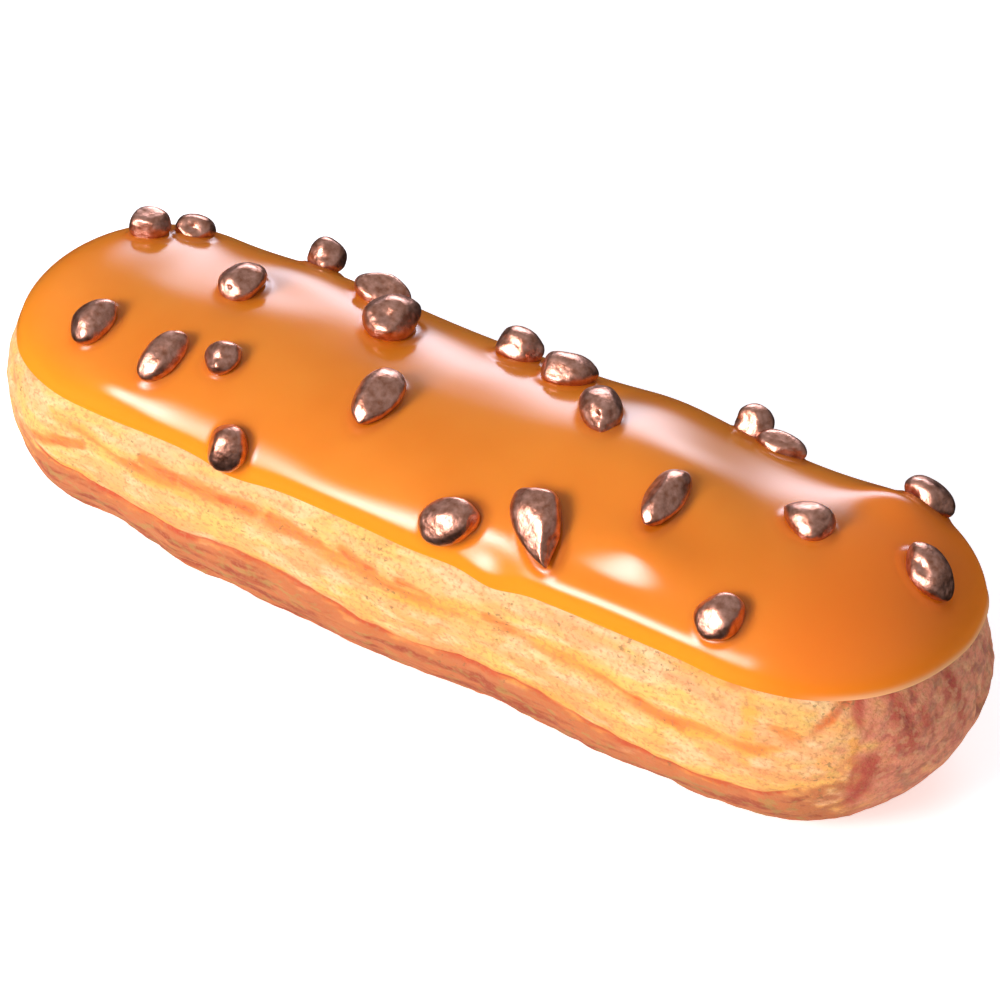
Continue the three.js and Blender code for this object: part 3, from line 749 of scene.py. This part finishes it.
def facing(bearing, elevation):
    """A direction by its bearing from the front, towards the right end, and its height, in degrees."""
    bearing = math.radians(bearing)
    elevation = math.radians(elevation)
    return Vector((
        math.sin(bearing) * math.cos(elevation),
        -math.cos(bearing) * math.cos(elevation),
        math.sin(elevation),
    ))


def worn_facets(seed):
    """Facets drawn from the nib's own seed all round it, worn on besides the flats that it is given."""
    draw = random.Random(seed)
    facets = []
    while len(facets) < NIB_FACETS:
        direction = Vector([draw.gauss(0, 1) for _ in range(3)]).normalized()
        if all(direction.dot(other) < NEAREST_FACETS for other, _ in facets):
            facets.append((direction, draw.uniform(*FACET_DISTANCES)))
    return facets


def make_nib(nib, number):
    bpy.ops.mesh.primitive_ico_sphere_add(subdivisions=5, radius=1)
    stone = bpy.context.object
    points = get_points(stone)
    points /= np.linalg.norm(points, axis=1)[:, None]
    seat, turned = nib_axes(nib)
    half = np.array([nib["length"], nib["width"], nib["height"]]) / 2 * MM

    def on_ball(bearing, elevation):
        local = np.array(turned.transposed() @ facing(bearing, elevation)) * half
        return local / np.linalg.norm(local)

    facets = [(np.array(direction), distance) for direction, distance in worn_facets(number)]
    facets += [(on_ball(bearing, height), distance) for bearing, height, distance in NIB_FLATS[number]]
    limit = np.ones(len(points))
    for direction, distance in facets:
        limit += np.clip(points @ direction / distance, 0, None) ** NIB_EDGE
    worn = NIB_FULLNESS * limit ** (-1 / NIB_EDGE)
    for bearing, height, width, depth in NIB_DENTS.get(number, []):
        worn -= depth * bell(np.linalg.norm(points - on_ball(bearing, height), axis=1), width)
    worn *= 1 + NIB_ROUGHNESS * ripple(points, NIB_ROUGHNESS_SIZE, number)
    end, side, top = (points * worn[:, None]).T
    narrow = np.clip(1 - end, 0.02, None) ** nib["point"]
    shaped = np.stack([end, side * narrow, top * np.sqrt(narrow)], axis=1) * half
    shaped[:, 2] += half[2] - NIB_SINK
    set_points(stone, shaped @ np.array(turned).T + np.array(seat))
    return stone


deselect_all()
stones = [make_nib(nib, number) for number, nib in enumerate(NIBS, start=1)]
for stone in stones:
    stone.select_set(True)
bpy.context.view_layer.objects.active = stones[0]
bpy.ops.object.join()
nibs = bpy.context.object
nibs.name = "bronze_nibs"
bpy.ops.object.shade_smooth()


def bronze_material(piece):
    """Bronze lustre powder on dark cocoa: a mottled metal sheen, finely grained under a clear coat."""
    tree = new_material("bronze_lustre", piece)
    place = add_node(tree, "ShaderNodeTexCoord").outputs["Object"]
    mottle = add_node(tree, "ShaderNodeTexNoise", {"Vector": place, "Scale": 1 / (0.9 * MM), "Detail": 3.0})
    share = add_node(tree, "ShaderNodeMapRange", {
        "Value": mottle.outputs["Fac"], "From Min": 0.3, "From Max": 0.7,
    })
    tone = add_node(tree, "ShaderNodeMix", {
        0: share.outputs["Result"], 6: colour("b27052"), 7: colour("e6ab94"),
    }, data_type="RGBA")
    rough = add_node(tree, "ShaderNodeMapRange", {
        "Value": mottle.outputs["Fac"], "From Min": 0.3, "From Max": 0.7, "To Min": 0.32, "To Max": 0.42,
    })
    grain = add_node(tree, "ShaderNodeTexNoise", {"Vector": place, "Scale": 1 / (1.1 * MM), "Detail": 2.0})
    bump = add_node(tree, "ShaderNodeBump", {
        "Height": grain.outputs["Fac"], "Strength": 0.6, "Distance": 0.25 * MM,
    })
    shader = add_node(tree, "ShaderNodeBsdfPrincipled", {
        "Base Color": tone.outputs[2], "Metallic": 1.0, "Roughness": rough.outputs["Result"],
        "Normal": bump.outputs["Normal"], "Coat Weight": 0.6, "Coat Roughness": 0.2,
    })
    add_node(tree, "ShaderNodeOutputMaterial", {"Surface": shader.outputs["BSDF"]})


bronze_material(nibs)
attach(nibs, "root")
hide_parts("glaze")

# The studio
# A pale plain floor, a broad soft light from the front left and a wide low one behind, and the camera where
# the photographer stood, a long lens that looks down on the eclair from the front right.
deselect_all()
bpy.ops.mesh.primitive_plane_add(size=6)
floor = bpy.context.object
floor.name = "studio_floor"
floor_tree = new_material("white_floor", floor)
floor_shader = add_node(floor_tree, "ShaderNodeBsdfPrincipled", {
    "Base Color": colour("fcfbfb"), "Roughness": 0.7,
    "Emission Color": colour("fffdfb"), "Emission Strength": 0.55,
})
add_node(floor_tree, "ShaderNodeOutputMaterial", {"Surface": floor_shader.outputs["BSDF"]})
# The glaze mirrors a dark room beyond the table, so the floor stays out of the reflections.
floor.visible_glossy = False

# The room's own light comes from above, most of it from the front, and fades towards the horizon.
world = bpy.data.worlds.new("studio_air")
bpy.context.scene.world = world
world.use_nodes = True
air = world.node_tree
direction = add_node(air, "ShaderNodeTexCoord").outputs["Generated"]
sides = add_node(air, "ShaderNodeSeparateXYZ", {"Vector": direction})
strength = 0.5
AIR_FADES = [("Z", -0.05, 0.6, 0.08, 1.0), ("Y", -1, 1, 1.1, 0.7)]
for axis, low, high, at_low, at_high in AIR_FADES:
    share = add_node(air, "ShaderNodeMapRange", {
        "Value": sides.outputs[axis], "From Min": low, "From Max": high, "To Min": at_low, "To Max": at_high,
    })
    strength = add_node(air, "ShaderNodeMath", {
        0: strength, 1: share.outputs["Result"],
    }, operation="MULTIPLY").outputs["Value"]
background = air.nodes["Background"]
background.inputs["Color"].default_value = colour("f0f2f8")
air.links.new(strength, background.inputs["Strength"])
LAMP_DISTANCE = 0.9


def softbox(name, bearing, elevation, size, brightness, tint):
    """A softbox that faces the eclair, brightest in its middle and fading to its edges."""
    lamp = bpy.data.lights.new(name, "AREA")
    lamp.shape = "RECTANGLE"
    lamp.size, lamp.size_y = size
    lamp.energy = brightness * math.pi * size[0] * size[1]
    lamp.color = colour(tint)[:3]
    lamp.use_nodes = True
    lamp.node_tree.nodes.clear()
    spot = add_node(lamp.node_tree, "ShaderNodeNewGeometry").outputs["Parametric"]
    shift = add_node(lamp.node_tree, "ShaderNodeVectorMath", {
        0: spot, 1: (0.5, 0.5, 0),
    }, operation="SUBTRACT")
    gap = add_node(lamp.node_tree, "ShaderNodeVectorMath", {
        0: shift.outputs["Vector"],
    }, operation="ABSOLUTE")
    sides = add_node(lamp.node_tree, "ShaderNodeSeparateXYZ", {"Vector": gap.outputs["Vector"]})
    glow = 1.0
    for side in ("X", "Y"):
        fade = add_node(lamp.node_tree, "ShaderNodeMapRange", {
            "Value": sides.outputs[side], "From Min": 0.5, "From Max": 0.0,
        }, interpolation_type="SMOOTHSTEP")
        glow = add_node(lamp.node_tree, "ShaderNodeMath", {
            0: glow, 1: fade.outputs["Result"],
        }, operation="MULTIPLY").outputs["Value"]
    emission = add_node(lamp.node_tree, "ShaderNodeEmission", {"Strength": glow})
    add_node(lamp.node_tree, "ShaderNodeOutputLight", {"Surface": emission.outputs["Emission"]})
    towards = facing(bearing, elevation)
    holder = bpy.data.objects.new(name, lamp)
    bpy.context.scene.collection.objects.link(holder)
    holder.location = towards * LAMP_DISTANCE + Vector((0, 0, SPINE_HEIGHT))
    holder.rotation_euler = towards.to_track_quat("Z", "Y").to_euler()


softbox("front_left_softbox", -23.5, 28.5, (0.62, 0.58), 26.5, "fff5fa")
softbox("back_softbox", -154, 22, (0.9, 0.54), 9.4, "e6ebff")

VIEW_BEARING = 32.7
VIEW_ELEVATION = 40.64
VIEW_DISTANCE = 500 * MM
VIEW_TARGET = Vector((0, 0, 15 * MM))
VIEW_OFFSET = (2.59 * MM, 1.72 * MM)
LENS = 141.9
SENSOR_WIDTH = 36
NEAREST_SEEN = 10 * MM
back = facing(VIEW_BEARING, VIEW_ELEVATION)
right = facing(VIEW_BEARING + 90, 0)
up = back.cross(right)
camera_data = bpy.data.cameras.new("camera")
camera_data.lens = LENS
camera_data.sensor_width = SENSOR_WIDTH
camera_data.clip_start = NEAREST_SEEN
camera = bpy.data.objects.new("camera", camera_data)
bpy.context.scene.collection.objects.link(camera)
camera.location = VIEW_TARGET + back * VIEW_DISTANCE
aim = VIEW_TARGET + right * VIEW_OFFSET[0] + up * VIEW_OFFSET[1]
camera.rotation_euler = (aim - camera.location).to_track_quat("-Z", "Y").to_euler()
bpy.context.scene.camera = camera
bpy.context.scene.view_settings.view_transform = "Standard"
